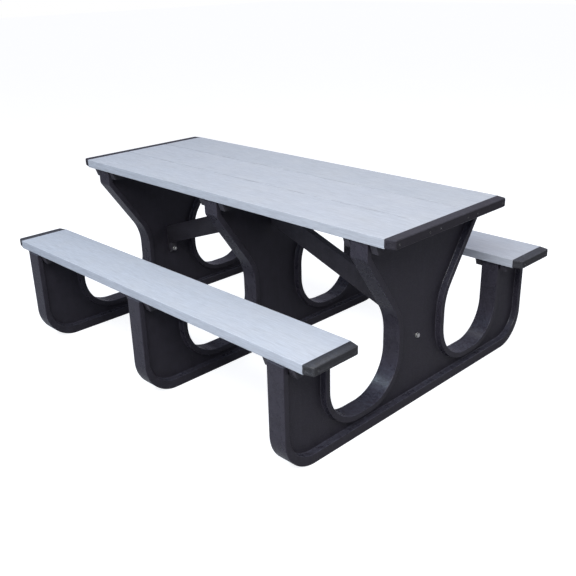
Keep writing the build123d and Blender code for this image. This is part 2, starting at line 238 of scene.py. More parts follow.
def copy_piece(piece, name, matrix):
    """A copy with its own mesh, moved in its mesh. A mirrored copy has its faces turned back."""
    made = piece.copy()
    made.data = piece.data.copy()
    made.name = name
    made.data.name = name
    bpy.context.scene.collection.objects.link(made)
    made.data.transform(matrix)
    if matrix.determinant() < 0:
        make_active(made)
        edit_piece()
        bpy.ops.mesh.select_all(action="SELECT")
        bpy.ops.mesh.flip_normals()
        leave_edit()
    return made


def join_pieces(pieces, name):
    clear_selection()
    for piece in pieces:
        piece.select_set(True)
    bpy.context.view_layer.objects.active = pieces[0]
    bpy.ops.object.join()
    return name_piece(name)


def place_piece(piece, material, slot, *nodes):
    """Finishes a piece: its material, its body and the nodes that it stands for."""
    piece.data.materials.clear()
    piece.data.materials.append(material)
    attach(piece, "root")
    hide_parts(*nodes)


def move(x=0.0, y=0.0, z=0.0):
    return Matrix.Translation((x, y, z))


as_it_is = Matrix.Identity(4)
swap_ends = Matrix.Diagonal((-1, 1, 1, 1))
swap_front_back = Matrix.Diagonal((1, -1, 1, 1))
both_ends = (("right", as_it_is), ("left", swap_ends))


# ---- shader helpers -----------------------------------------------------------------------
class Nodes:
    """Adds nodes to one tree and links them, each value given by name."""

    def __init__(self, tree):
        self.tree = tree

    def add(self, kind, settings=None, **inputs):
        node = self.tree.nodes.new(kind)
        for setting, value in (settings or {}).items():
            setattr(node, setting, value)
        for name, value in inputs.items():
            self.set(node.inputs[name], value)
        return node

    def set(self, socket, value):
        if isinstance(value, bpy.types.NodeSocket):
            self.tree.links.new(value, socket)
        else:
            socket.default_value = value

    def math(self, operation, *values):
        node = self.add("ShaderNodeMath", {"operation": operation})
        for socket, value in zip(node.inputs, values):
            self.set(socket, value)
        return node.outputs[0]

    def times(self, first, second):
        return self.math("MULTIPLY", first, second)

    def mix(self, share, first, second):
        node = self.add("ShaderNodeMix", {"data_type": "RGBA"})
        self.set(node.inputs[0], share)
        self.set(node.inputs[6], first)
        self.set(node.inputs[7], second)
        return node.outputs[2]

    def tint(self, colour, mask, share, target):
        """Mixes a share of the target into the colour, where the mask is 1."""
        return self.mix(self.times(mask, share), colour, target)

    def range(self, value, from_low, from_high, to_low=0.0, to_high=1.0):
        node = self.add("ShaderNodeMapRange", {"interpolation_type": "SMOOTHSTEP"})
        for socket, number in zip(node.inputs, (value, from_low, from_high, to_low, to_high)):
            self.set(socket, number)
        return node.outputs[0]

    def vector(self, operation, first, second):
        node = self.add("ShaderNodeVectorMath", {"operation": operation})
        self.set(node.inputs[0], first)
        self.set(node.inputs[1], second)
        return node.outputs

    def stretched(self, coordinates, scale):
        return self.add("ShaderNodeMapping", None, Vector=coordinates, Scale=scale).outputs[0]

    def noise(self, coordinates, scale, detail=4.0, roughness=0.55):
        return self.add("ShaderNodeTexNoise", None, Vector=coordinates, Scale=scale,
                        Detail=detail, Roughness=roughness).outputs["Fac"]

    def place(self):
        return self.add("ShaderNodeTexCoord").outputs["Object"]

    def normal(self):
        return self.add("ShaderNodeNewGeometry").outputs["Normal"]

    def along(self, vector, axis):
        return self.add("ShaderNodeSeparateXYZ", None, Vector=vector).outputs[axis]


def start_group(name, inputs, outputs):
    """An empty shader group: its inputs with their defaults, and its outputs, all numbers."""
    tree = bpy.data.node_groups.new(name, "ShaderNodeTree")
    for label, default in inputs.items():
        socket = tree.interface.new_socket(
            name=label, in_out="INPUT", socket_type="NodeSocketFloat"
        )
        socket.default_value = default
    for label in outputs:
        tree.interface.new_socket(name=label, in_out="OUTPUT", socket_type="NodeSocketFloat")
    source = tree.nodes.new("NodeGroupInput")
    target = tree.nodes.new("NodeGroupOutput")
    return tree, Nodes(tree), source.outputs, target.inputs


def use_group(nodes, group, **inputs):
    node = nodes.add("ShaderNodeGroup", {"node_tree": group})
    for name, value in inputs.items():
        nodes.set(node.inputs[name], value)
    return node.outputs


def start_material(name):
    material = bpy.data.materials.new(name)
    material.use_nodes = True
    nodes = Nodes(material.node_tree)
    return material, nodes, nodes.tree.nodes["Principled BSDF"], nodes.place()


def add_bump(nodes, shader, height, strength, distance):
    bump = nodes.add("ShaderNodeBump", None, Height=height, Strength=strength, Distance=distance)
    nodes.set(shader.inputs["Normal"], bump.outputs["Normal"])


def shade_of(colour, share):
    return tuple(share * part for part in colour[:3]) + (1,)


# ---- shared effects -----------------------------------------------------------------------
def edge_wear_group():
    """Where the surface turns sharply: 1 on a worn edge, broken up by noise."""
    tree, nodes, source, target = start_group(
        "edge_wear", {"Radius": 0.002, "Start": 0.02, "Full": 0.25, "Break Up": 60.0}, ["Mask"]
    )
    rounded = nodes.add("ShaderNodeBevel", {"samples": 4}, Radius=source["Radius"])
    product = nodes.vector("DOT_PRODUCT", rounded.outputs["Normal"], nodes.normal())["Value"]
    turn = nodes.math("SUBTRACT", 1.0, product)
    noise = nodes.noise(nodes.place(), source["Break Up"], 3.0, 0.5)
    ragged = nodes.times(turn, nodes.range(noise, 0.35, 0.65, 0.25, 1.6))
    nodes.set(target["Mask"], nodes.range(ragged, source["Start"], source["Full"]))
    return tree


def grain_group():
    """Embossed wood grain along X: a height, fine streaks, bands of tone and a flecked figure."""
    tree, nodes, source, target = start_group(
        "plank_grain", {"Seed": 0.0}, ["Height", "Streaks", "Bands", "Figure"]
    )
    seed = source["Seed"]
    apart = nodes.add("ShaderNodeCombineXYZ", None, X=seed, Y=seed, Z=seed).outputs[0]
    shifted = nodes.vector("ADD", nodes.place(), apart)[0]
    wander = nodes.noise(nodes.stretched(shifted, (2.2, 9.0, 9.0)), 1.0, 2.0)
    bend = nodes.add("ShaderNodeCombineXYZ", None, Y=nodes.times(wander, 0.050)).outputs[0]
    bent = nodes.vector("ADD", shifted, bend)[0]
    fine = nodes.noise(nodes.stretched(bent, (17.0, 300.0, 300.0)), 1.0, 5.0, 0.65)
    pores = nodes.noise(nodes.stretched(bent, (38.0, 620.0, 620.0)), 1.0, 3.0, 0.6)
    broad = nodes.noise(nodes.stretched(bent, (3.2, 42.0, 42.0)), 1.0, 4.0, 0.6)
    figure = nodes.noise(nodes.stretched(bent, (7.0, 115.0, 115.0)), 1.0, 4.0, 0.7)
    pore = nodes.range(pores, 0.30, 0.46)
    ridge = nodes.range(fine, 0.32, 0.68)
    height = nodes.times(ridge, nodes.math("MULTIPLY_ADD", pore, 0.6, 0.4))
    nodes.set(target["Height"], height)
    nodes.set(target["Streaks"], nodes.times(ridge, pore))
    nodes.set(target["Bands"], broad)
    nodes.set(target["Figure"], nodes.range(figure, 0.50, 0.66))
    return tree


def dust_and_sheen_group():
    """A mask on upward faces that thickens in patches: pale dust on the planks, and on the black
    plastic dust with a painted bluish sheen of the sky.
    """
    tree, nodes, source, target = start_group(
        "dust_and_sky_sheen", {"Amount": 0.3, "Patches": 18.0}, ["Mask"]
    )
    patches = nodes.noise(nodes.place(), source["Patches"], 6.0, 0.65)
    lying = nodes.range(nodes.along(nodes.normal(), "Z"), 0.1, 0.7)
    patchy = nodes.range(patches, 0.35, 0.72)
    nodes.set(target["Mask"], nodes.times(nodes.times(lying, patchy), source["Amount"]))
    return tree


def scuff_group():
    """Thin pale scratches and rubbed patches, in two directions."""
    tree, nodes, source, target = start_group(
        "scuffs", {"Amount": 0.5, "Scale": 1.0}, ["Mask"]
    )
    scaled = nodes.add("ShaderNodeVectorMath", {"operation": "SCALE"}, Scale=source["Scale"])
    nodes.set(scaled.inputs[0], nodes.place())
    sized = scaled.outputs[0]
    upright = nodes.noise(nodes.stretched(sized, (240.0, 240.0, 7.0)), 1.0, 3.0, 0.5)
    slanting = nodes.add("ShaderNodeMapping", None, Vector=sized, Rotation=(0.5, 0.2, 0.6),
                         Scale=(12.0, 260.0, 260.0)).outputs[0]
    crossing = nodes.noise(slanting, 1.0, 3.0, 0.5)
    where = nodes.noise(sized, 7.0, 3.0, 0.6)
    lines = nodes.math(
        "MAXIMUM", nodes.range(upright, 0.66, 0.74), nodes.range(crossing, 0.68, 0.76)
    )
    placed = nodes.times(lines, nodes.range(where, 0.45, 0.7))
    nodes.set(target["Mask"], nodes.times(placed, source["Amount"]))
    return tree


def fleck_group():
    """Small pale flecks of other plastic in the melt, a cloudy tone and fine pits."""
    tree, nodes, source, target = start_group(
        "flecks", {"Scale": 420.0, "Cover": 0.5}, ["Pale", "Cloud", "Pits"]
    )
    place = nodes.place()
    cells = nodes.add("ShaderNodeTexVoronoi", None, Vector=place, Scale=source["Scale"],
                      Randomness=1.0)
    tone = nodes.add("ShaderNodeSeparateColor", None, Color=cells.outputs["Color"]).outputs["Red"]
    chosen = nodes.math("GREATER_THAN", source["Cover"], tone)
    round_spot = nodes.range(cells.outputs["Distance"], 0.42, 0.18)
    nodes.set(target["Pale"], nodes.times(chosen, round_spot))
    nodes.set(target["Cloud"], nodes.noise(place, 26.0, 5.0, 0.6))
    nodes.set(target["Pits"], nodes.noise(place, 900.0, 2.0, 0.6))
    return tree


edge_wear = edge_wear_group()
plank_grain = grain_group()
dust_and_sky_sheen = dust_and_sheen_group()
scuffs = scuff_group()
flecks = fleck_group()


# ---- materials ----------------------------------------------------------------------------
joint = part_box("table_plank_middle")[1].y    # each side of the middle plank
joint_grime_reach = 0.008
mould_roughness = 0.26           # added on the webs of the frames
# share of black painted onto the webs of the frames as shade
web_painted_shade = 0.36


def plank_plastic(name, base, seed):
    """Pale blue-grey recycled plastic with an embossed grain along its length."""
    material, nodes, shader, place = start_material(name)
    grain = use_group(nodes, plank_grain, Seed=seed)
    worn = use_group(nodes, edge_wear, Radius=0.0025, Start=0.02, Full=0.30)["Mask"]
    dust_and_sheen = use_group(nodes, dust_and_sky_sheen, Amount=0.10, Patches=9.0)["Mask"]
    dark, pale = shade_of(base, 0.66), shade_of(base, 1.12)
    colour = nodes.mix(nodes.range(grain["Bands"], 0.30, 0.72), shade_of(base, 0.93), base)
    colour = nodes.tint(colour, grain["Streaks"], 0.35, pale)
    colour = nodes.tint(colour, nodes.math("SUBTRACT", 1.0, grain["Height"]), 0.40, dark)
    colour = nodes.tint(colour, grain["Figure"], 0.30, dark)
    # grime along the joints of the table top
    across = nodes.math("ABSOLUTE", nodes.along(place, "Y"))
    from_joint = nodes.math("ABSOLUTE", nodes.math("SUBTRACT", across, joint))
    ragged = nodes.range(nodes.noise(nodes.stretched(place, (9.0, 60.0, 60.0)), 1.0), 0.35, 0.65)
    grime = nodes.times(nodes.range(from_joint, joint_grime_reach, 0.001), ragged)
    colour = nodes.tint(colour, grime, 0.45, (0.20, 0.21, 0.23, 1))
    colour = nodes.tint(colour, worn, 0.30, (0.24, 0.25, 0.27, 1))
    colour = nodes.mix(dust_and_sheen, colour, (0.62, 0.60, 0.56, 1))
    nodes.set(shader.inputs["Base Color"], colour)
    rough = nodes.math("MULTIPLY_ADD", grain["Height"], -0.14, 0.66)
    nodes.set(shader.inputs["Roughness"], nodes.math("MULTIPLY_ADD", worn, -0.08, rough))
    shader.inputs["Specular IOR Level"].default_value = 0.35
    add_bump(nodes, shader, grain["Height"], 0.55, 0.0008)
    return material


def black_plastic(name, base, rough, fleck_cover, streak, specular, dust_and_sheen_amount):
    """Charcoal recycled plastic: cloudy, pitted, with pale flecks, scuffs and rubbed edges, dust
    and a painted bluish sheen on upward faces, and painted shade on the webs.
    """
    material, nodes, shader, place = start_material(name)
    worn = use_group(nodes, edge_wear, Radius=0.0025, Start=0.03, Full=0.35)["Mask"]
    dust_and_sheen = use_group(nodes, dust_and_sky_sheen, Amount=dust_and_sheen_amount, Patches=90.0)["Mask"]
    marks = use_group(nodes, scuffs, Amount=streak, Scale=1.0)["Mask"]
    melt = use_group(nodes, flecks, Scale=380.0, Cover=fleck_cover)
    streaks = nodes.noise(nodes.stretched(place, (60.0, 60.0, 5.0)), 1.0, 4.0, 0.6)
    specks = nodes.noise(place, 230.0, 3.0, 0.7)
    cloud = nodes.range(melt["Cloud"], 0.3, 0.7)
    darker, lighter = shade_of(base, 0.72), shade_of(base, 1.45)
    colour = nodes.mix(cloud, darker, base)
    colour = nodes.tint(colour, nodes.range(streaks, 0.45, 0.7), 0.22, lighter)
    colour = nodes.tint(colour, nodes.range(specks, 0.52, 0.66), 0.40, lighter)
    colour = nodes.tint(colour, nodes.range(specks, 0.46, 0.34), 0.55, darker)
    colour = nodes.tint(colour, melt["Pale"], 0.25, (0.16, 0.16, 0.17, 1))
    colour = nodes.tint(colour, marks, 0.35, (0.22, 0.22, 0.23, 1))
    colour = nodes.tint(colour, worn, 0.25, (0.17, 0.17, 0.18, 1))
    # dust on upward faces, tinted blue as a painted sheen of the sky from above
    colour = nodes.mix(dust_and_sheen, colour, (0.13, 0.155, 0.21, 1))
    # faces across X keep the dull texture of the mould and are darkened with painted shade; the
    # planed rims shine more
    across = nodes.math("ABSOLUTE", nodes.along(nodes.normal(), "X"))
    flat = nodes.range(across, 0.6, 0.95)
    nodes.set(shader.inputs["Base Color"], nodes.tint(colour, flat, web_painted_shade, (0, 0, 0, 1)))
    roughness = nodes.math("MULTIPLY_ADD", cloud, 0.10, rough)
    for mask, share in ((marks, 0.15), (dust_and_sheen, 0.12), (flat, mould_roughness)):
        roughness = nodes.math("MULTIPLY_ADD", mask, share, roughness)
    nodes.set(shader.inputs["Roughness"], roughness)
    shader.inputs["Specular IOR Level"].default_value = specular
    height = nodes.math("MULTIPLY_ADD", melt["Pits"], 0.5, nodes.times(streaks, 0.7))
    height = nodes.math("MULTIPLY_ADD", specks, 0.8, height)
    add_bump(nodes, shader, height, 0.30, 0.0006)
    return material


def plated_steel(name, base, rough):
    """Plated or stainless fasteners with fine turning marks and dulled patches."""
    material, nodes, shader, place = start_material(name)
    worn = use_group(nodes, edge_wear, Radius=0.0008, Start=0.03, Full=0.35)["Mask"]
    marks = use_group(nodes, scuffs, Amount=0.6, Scale=4.0)["Mask"]
    patches = nodes.noise(place, 160.0, 4.0, 0.6)
    colour = nodes.mix(nodes.range(patches, 0.35, 0.7), base, shade_of(base, 0.55))
    colour = nodes.tint(colour, worn, 0.6, (0.9, 0.9, 0.9, 1))
    nodes.set(shader.inputs["Base Color"], colour)
    roughness = nodes.math("MULTIPLY_ADD", patches, 0.25, rough)
    nodes.set(shader.inputs["Roughness"], nodes.math("MULTIPLY_ADD", marks, 0.2, roughness))
    shader.inputs["Metallic"].default_value = 1.0
    add_bump(nodes, shader, nodes.math("ADD", patches, marks), 0.2, 0.0002)
    return material


plank_looks = {
    "table_plank_front": plank_plastic("grey_plank_front", (0.478, 0.510, 0.562, 1), 3.1),
    "table_plank_middle": plank_plastic("grey_plank_middle", (0.476, 0.508, 0.560, 1), 11.7),
    "table_plank_back": plank_plastic("grey_plank_back", (0.455, 0.488, 0.536, 1), 19.3),
    "front_seat_plank": plank_plastic("grey_plank_front_seat", (0.500, 0.542, 0.608, 1), 27.9),
    "back_seat_plank": plank_plastic("grey_plank_back_seat", (0.470, 0.503, 0.560, 1), 35.2),
}
frame_look = black_plastic(
    "black_frame_plastic", (0.0335, 0.0308, 0.0430, 1),
    rough=0.24, fleck_cover=0.2, streak=0.4, specular=0.26, dust_and_sheen_amount=0.20,
)
bar_look = black_plastic(
    "black_bar_plastic", (0.046, 0.043, 0.053, 1),
    rough=0.44, fleck_cover=0.25, streak=0.4, specular=0.35, dust_and_sheen_amount=0.12,
)
table_cap_look = black_plastic(
    "black_table_cap_plastic", (0.024, 0.0215, 0.030, 1),
    rough=0.46, fleck_cover=0.45, streak=0.4, specular=0.30, dust_and_sheen_amount=0.08,
)
seat_cap_look = black_plastic(
    "black_seat_cap_plastic", (0.034, 0.035, 0.040, 1),
    rough=0.42, fleck_cover=0.6, streak=0.4, specular=0.36, dust_and_sheen_amount=0.16,
)
zinc_look = plated_steel("zinc_plated_steel", (0.72, 0.72, 0.70, 1), 0.28)
stainless_look = plated_steel("stainless_steel", (0.12, 0.12, 0.125, 1), 0.45)


# ---- moulded frames -----------------------------------------------------------------------
frame_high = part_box("middle_frame")[1]
half_span = frame_high.y
table_underside = frame_high.z
half_rim_width = frame_high.x
seat_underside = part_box("back_seat_plank")[0].z
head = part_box("middle_frame_table_batten_right")[1].y + batten_inset
post_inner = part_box("middle_frame_back_seat_batten_right")[0].y - batten_inset
leg_line = post_inner - 50 * MM  # in the opening, between the leg and the pedestal
frame_middles = {
    name: sum(corner.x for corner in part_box(f"{name}_frame")) / 2 for name in frames
}


def frame_corners(inset, base, top_rise):
    """The frame seen along X as (y, z, radius), drawn in by inset at the sides."""
    def slope_height(across):
        height = table_underside - shoulder_depth - (head - across) * math.tan(head_slope)
        return height + inset / math.cos(head_slope)

    half = [
        (half_span - inset, base, foot_radius - inset),
        (half_span - inset, seat_underside + top_rise, 0),
        (post_inner + inset, seat_underside + top_rise, 0),
        (post_inner + inset, runner_top - inset, outer_opening_radius + inset),
        (waist - inset, runner_top - inset, inner_opening_radius + inset),
        (waist - inset, slope_height(waist - inset), waist_radius + inset),
        (head - inset, slope_height(head - inset), shoulder_radius - inset),
        (head - inset, table_underside + top_rise, 0),
    ]
    return half + [(-y, z, radius) for y, z, radius in reversed(half)]


def draw_loop(corners, x):
    """Extrudes and spins one point round a closed loop with rounded corners."""
    points = [Vector((x, y, z)) for y, z, _ in corners]
    at = start = (points[-1] + points[0]) / 2
    start_point(start)
    for index, (_, _, radius) in enumerate(corners):
        corner = points[index]
        before = (corner - points[index - 1]).normalized()
        after = (points[(index + 1) % len(points)] - corner).normalized()
        turn = math.atan2(before.cross(after).x, before.dot(after))
        reach = radius * math.tan(abs(turn) / 2)
        step = corner - before * reach - at
        bpy.ops.mesh.extrude_region_move(TRANSFORM_OT_translate={"value": step})
        at = corner - before * reach
        if radius > 0:
            inward = Vector((1, 0, 0)).cross(before) * math.copysign(radius, turn)
            steps = curve_steps if abs(turn) > 1 else slight_curve_steps
            bpy.ops.mesh.spin(steps=steps, angle=-turn, center=at + inward, axis=(1, 0, 0))
            at = corner + after * reach
    bpy.ops.mesh.extrude_region_move(TRANSFORM_OT_translate={"value": start - at})
    bpy.ops.mesh.select_all(action="SELECT")
    bpy.ops.mesh.remove_doubles(threshold=same_place)


def near(value, wanted):
    return abs(value - wanted) < same_place


def tidy_mesh(piece):
    """Merges doubles and turns every face outwards."""
    make_active(piece)
    edit_piece("VERT")
    bpy.ops.mesh.select_all(action="SELECT")
    bpy.ops.mesh.remove_doubles(threshold=merge_reach)
    bpy.ops.mesh.select_all(action="SELECT")
    bpy.ops.mesh.normals_make_consistent(inside=False)
    leave_edit()
    return piece


def frame_moulding():
    """The frame in the middle of the table: a web with a rim round it on both faces."""
    clear_selection()
    bpy.ops.mesh.primitive_plane_add(size=1 * MM)
    piece = name_piece("frame_moulding")
    edit_piece("VERT")
    bpy.ops.mesh.select_all(action="SELECT")
    bpy.ops.mesh.delete(type="VERT")
    # the outline and the edge of the recess, joined by the face of the rim
    draw_loop(frame_corners(0, 0, rim), half_rim_width)
    outline_count = len(bmesh.from_edit_mesh(piece.data).verts)
    draw_loop(frame_corners(rim, base_rim, 2 * rim), half_rim_width)
    bpy.ops.mesh.select_mode(type="EDGE")
    bpy.ops.mesh.select_all(action="SELECT")
    bpy.ops.mesh.bridge_edge_loops()
    # the recess goes down to the web, which closes it
    pick_open_edges(outline_count)
    bpy.ops.mesh.extrude_region_move(
        TRANSFORM_OT_translate={"value": (half_web - half_rim_width, 0, 0)}
    )
    bpy.ops.mesh.edge_face_add()
    # the outline, still open, goes in to the middle plane
    pick_open_edges()
    bpy.ops.mesh.extrude_region_move(TRANSFORM_OT_translate={"value": (-half_rim_width, 0, 0)})
    pick("edges", lambda place, along: near(place.x, half_rim_width), sharp=True)
    bpy.ops.mesh.bevel(offset=rim_rounding, segments=4, affect="EDGES", clamp_overlap=False)
    pick("edges", lambda place, along: near(place.x, half_web), sharp=True)
    bpy.ops.mesh.bevel(offset=web_rounding, segments=3, affect="EDGES", clamp_overlap=False)
    leave_edit()
    modifier(piece, "MIRROR", use_axis=(True, False, False), merge_threshold=same_place)
    tidy_mesh(piece)
    # the head and the seat posts are cut level, which opens the recess at the top
    far = trim_reach
    above = table_underside + far
    cut_with(piece, start_block("head_trim", (-far, -far, table_underside), (far, far, above)))
    for side in (-1, 1):
        near_side, far_side = sorted((side * leg_line, side * far))
        trim = start_block("post_trim", (-far, near_side, seat_underside), (far, far_side, above))
        cut_with(piece, trim)
    tidy_mesh(piece)
    finish_shading(piece)
    return piece


def pick_open_edges(first=0):
    """Selects the open edges whose vertices are numbered from first on."""
    bpy.ops.mesh.select_mode(type="EDGE")
    bpy.ops.mesh.select_all(action="DESELECT")
    mesh = bmesh.from_edit_mesh(bpy.context.object.data)
    for edge in mesh.edges:
        lowest = min(vertex.index for vertex in edge.verts)
        edge.select_set(edge.is_boundary and lowest >= first)
    bmesh.update_edit_mesh(bpy.context.object.data)


frame_pattern = frame_moulding()
for name in frames:
    made = copy_piece(frame_pattern, f"{name}_frame_moulding", move(x=frame_middles[name]))
    place_piece(made, frame_look, "black_frame_plastic", f"{name}_frame")
bpy.data.objects.remove(frame_pattern)


# ---- planks -------------------------------------------------------------------------------
def plank_board(node):
    """A board with rounded long edges, divided along and across."""
    low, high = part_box(node)
    piece = start_block(f"{node}_board", low, high)
    edit_piece()
    pick("edges", lambda place, along: abs(along.x) > 0.99)
    bpy.ops.mesh.bevel(offset=plank_edge_radius, segments=3, affect="EDGES")
    pick("edges", lambda place, along: abs(along.x) > 0.99)
    bpy.ops.mesh.subdivide(number_cuts=plank_cuts_along)
    middle = (low.y + high.y) / 2
    pick(
        "edges",
        lambda place, along: abs(along.y) > 0.99 and abs(place.y - middle) < plank_middle_reach,
    )
    bpy.ops.mesh.subdivide(number_cuts=plank_cuts_across)
    leave_edit()
    finish_shading(piece, 40)
    return piece


for node, look in plank_looks.items():
    place_piece(plank_board(node), look, "grey_plank_plastic", node)


# ---- end caps -----------------------------------------------------------------------------
def end_cap_moulding(node, screw_places):
    """The cap on the right-hand end: tapered, bevelled, with a recess at each end."""
    low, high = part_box(node)
    piece = start_block(f"{node}_moulding", low, high)
    edit_piece()
    for side, edge_y in ((1, low.y), (-1, high.y)):
        pick("points", lambda place, normal: near(place.y, edge_y) and near(place.x, high.x))
        bpy.ops.transform.translate(value=(0, side * cap_taper, 0))
    pick("edges", lambda place, along: abs(along.z) > 0.99 and near(place.x, high.x))
    bpy.ops.mesh.bevel(offset=cap_corner, segments=1, affect="EDGES")
    for height, width in ((high.z, cap_top_bevel), (low.z, cap_foot_bevel)):
        pick("edges", lambda place, along: near(place.z, height) and place.x > low.x + overrun)
        bpy.ops.mesh.bevel(offset=width, segments=1, affect="EDGES")
    edge_width = (high.z - low.z) / 2 - cap_recess / 2 - cap_recess_margin
    for side in (-1, 1):
        pick("faces", lambda place, normal: normal.y * side > 0.9 and abs(normal.z) < 0.1)
        bpy.ops.mesh.inset(thickness=edge_width)
        bpy.ops.mesh.extrude_region_move(
            TRANSFORM_OT_translate={"value": (0, -side * cap_recess_depth, 0)}
        )
    leave_edit()
    for place in screw_places:
        hole = start_bar(
            "screw_hole", cap_hole_radius, high.x - cap_hole_depth, high.x + 5 * overrun
        )
        hole.data.transform(move(0, place, (low.z + high.z) / 2))
        cut_with(piece, hole)
    tidy_mesh(piece)
    soften(piece, cap_rounding)
    return piece


def middle_of(node):
    low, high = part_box(node)
    return (low + high) / 2


table_cap_screw_places = [
    middle_of(f"table_plank_{name}").y + side * cap_screw_spread
    for name in ("front", "middle", "back") for side in (-1, 1)
]
table_cap = end_cap_moulding("table_end_cap_right", table_cap_screw_places)
left_cap = copy_piece(table_cap, "table_end_cap_left_moulding", swap_ends)
place_piece(table_cap, table_cap_look, "black_cap_plastic", "table_end_cap_right")
place_piece(left_cap, table_cap_look, "black_cap_plastic", "table_end_cap_left")

seat_middle = middle_of("back_seat_plank").y
seat_cap_screw_places = [seat_middle - cap_screw_spread, seat_middle + cap_screw_spread]
first_seat_cap = "back_seat_end_cap_right"
back_cap = end_cap_moulding(first_seat_cap, seat_cap_screw_places)
for row, mirrored in (("back", as_it_is), ("front", swap_front_back)):
    for end, turned in both_ends:
        node = f"{row}_seat_end_cap_{end}"
        if node != first_seat_cap:
            made = copy_piece(back_cap, f"{node}_moulding", mirrored @ turned)
            place_piece(made, seat_cap_look, "black_cap_plastic", node)
place_piece(back_cap, seat_cap_look, "black_cap_plastic", first_seat_cap)


# ---- battens ------------------------------------------------------------------------------
def batten_bar(node, bar_start, bar_end):
    """The batten on the right of a frame, notched round the rims beyond bar_start and bar_end."""
    low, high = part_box(node)
    notch_x = frame_high.x + notch_clearance
    piece = start_block(f"{node}_pattern", (notch_x, low.y, low.z), high)
    edit_piece()
    for side, end in ((1, low.y), (-1, high.y)):
        pick("points", lambda place, normal: near(place.y, end) and near(place.z, low.z))
        bpy.ops.transform.translate(value=(0, side * batten_slant, 0))
    for cut in (bar_start, bar_end):
        bpy.ops.mesh.select_all(action="SELECT")
        bpy.ops.mesh.bisect(plane_co=(0, cut, 0), plane_no=(0, 1, 0))
    pick("faces", lambda place, normal: normal.x < -0.9 and bar_start < place.y < bar_end)
    bpy.ops.mesh.extrude_region_move(TRANSFORM_OT_translate={"value": (low.x - notch_x, 0, 0)})
    leave_edit()
    tidy_mesh(piece)
    soften(piece, batten_rounding)
    return piece


def place_battens(kind, pattern, flip):
    """Copies one batten to both sides of every frame."""
    for name in frames:
        for end, turned in both_ends:
            node = f"{name}_frame_{kind}_batten_{end}"
            made = copy_piece(pattern, f"{node}_bar", move(x=frame_middles[name]) @ turned @ flip)
            place_piece(made, bar_look, "black_bar_plastic", node)


head_notch = head - rim - notch_clearance
table_batten = batten_bar("middle_frame_table_batten_right", -head_notch, head_notch)
place_battens("table", table_batten, as_it_is)
post_notches = (post_inner + rim + notch_clearance, half_span - rim - notch_clearance)
seat_batten = batten_bar("middle_frame_back_seat_batten_right", *post_notches)
place_battens("back_seat", seat_batten, as_it_is)
place_battens("front_seat", seat_batten, swap_front_back)
for pattern in (table_batten, seat_batten):
    bpy.data.objects.remove(pattern)


# ---- braces and their blocks --------------------------------------------------------------
def brace_bar(node):
    """The right brace: a bar on edge that climbs to the middle frame, with upright ends."""
    low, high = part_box(node)
    depth = brace_depth / math.cos(brace_angle)
    piece = start_block(f"{node}_bar", low, (high.x, high.y, low.z + depth))
    edit_piece()
    pick("points", lambda place, normal: near(place.x, low.x))
    bpy.ops.transform.translate(value=(0, 0, high.z - depth - low.z))
    pick("edges", lambda place, along: abs(along.x) > 0.5)
    bpy.ops.mesh.bevel(offset=brace_edge_radius, segments=3, affect="EDGES")
    leave_edit()
    tidy_mesh(piece)
    soften(piece, brace_rounding, angle=60)
    return piece


def brace_block(node, slope_at_top):
    """A block that fills the wedge between a brace and its bolt."""
    low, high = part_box(node)
    piece = start_block(f"{node}_bar", low, high)
    drop = (high.x - low.x) * math.tan(brace_angle)
    edit_piece()
    if slope_at_top:
        pick("points", lambda place, normal: near(place.z, high.z) and near(place.x, high.x))
        bpy.ops.transform.translate(value=(0, 0, -drop))
    else:
        pick("points", lambda place, normal: near(place.z, low.z) and near(place.x, low.x))
        bpy.ops.transform.translate(value=(0, 0, drop))
    leave_edit()
    soften(piece, block_rounding)
    return piece


right_pieces = {
    "brace": brace_bar("brace_right"),
    "brace_foot_block": brace_block("brace_foot_block_right", True),
    "brace_head_block": brace_block("brace_head_block_right", False),
}
for kind, pattern in right_pieces.items():
    made = copy_piece(pattern, f"{kind}_left_bar", swap_ends)
    place_piece(made, bar_look, "black_bar_plastic", f"{kind}_left")
    place_piece(pattern, bar_look, "black_bar_plastic", f"{kind}_right")


# ---- fasteners ----------------------------------------------------------------------------
def hexagon_piece(name, across_flats, height):
    """A hexagon from x = 0 to x = height with the corners of its outer face turned off."""
    corner_chamfer, disc_radius = across_flats * 0.09, across_flats * 0.6
    piece = start_bar(name, across_flats / math.sqrt(3), 0, height, 6)
    disc = start_bar("corner_disc", disc_radius, -height, height, 48)
    edit_piece()
    pick("edges", lambda place, along: near(place.x, height) and abs(along.x) < 0.1)
    bpy.ops.mesh.bevel(offset=corner_chamfer, segments=2, affect="EDGES")
    leave_edit()
    cut_with(piece, disc, "INTERSECT")
    return piece


def bolt_piece(name, size, end):
    """A hexagon bolt along +X: its head ends at x = 0, its threaded tip is at x = end."""
    shank, across_flats, head_height = size
    head_piece = hexagon_piece(name, across_flats, head_height)
    head_piece.data.transform(swap_ends)
    shank_piece = start_bar("shank", shank / 2, -overrun, end, 24)
    edit_piece()
    pitch = shank / 6.4
    for turn_number in range(thread_turns):
        for offset in (0.6, 1.1):    # crest and root
            bpy.ops.mesh.select_all(action="SELECT")
            spot = end - (turn_number + offset) * pitch
            bpy.ops.mesh.bisect(plane_co=(spot, 0, 0), plane_no=(1, 0, 0))
    roots = [
        (end - (turn_number + 1.1) * pitch, thread_root) for turn_number in range(thread_turns)
    ]
    for spot, share in roots + [(end, bolt_tip)]:
        pick("points", lambda place, normal: near(place.x, spot))
        bpy.ops.transform.resize(value=(1, share, share), center_override=(spot, 0, 0))
    leave_edit()
    piece = join_pieces([head_piece, shank_piece], name)
    tidy_mesh(piece)
    soften(piece, hexagon_rounding, 1, 50)
    return piece


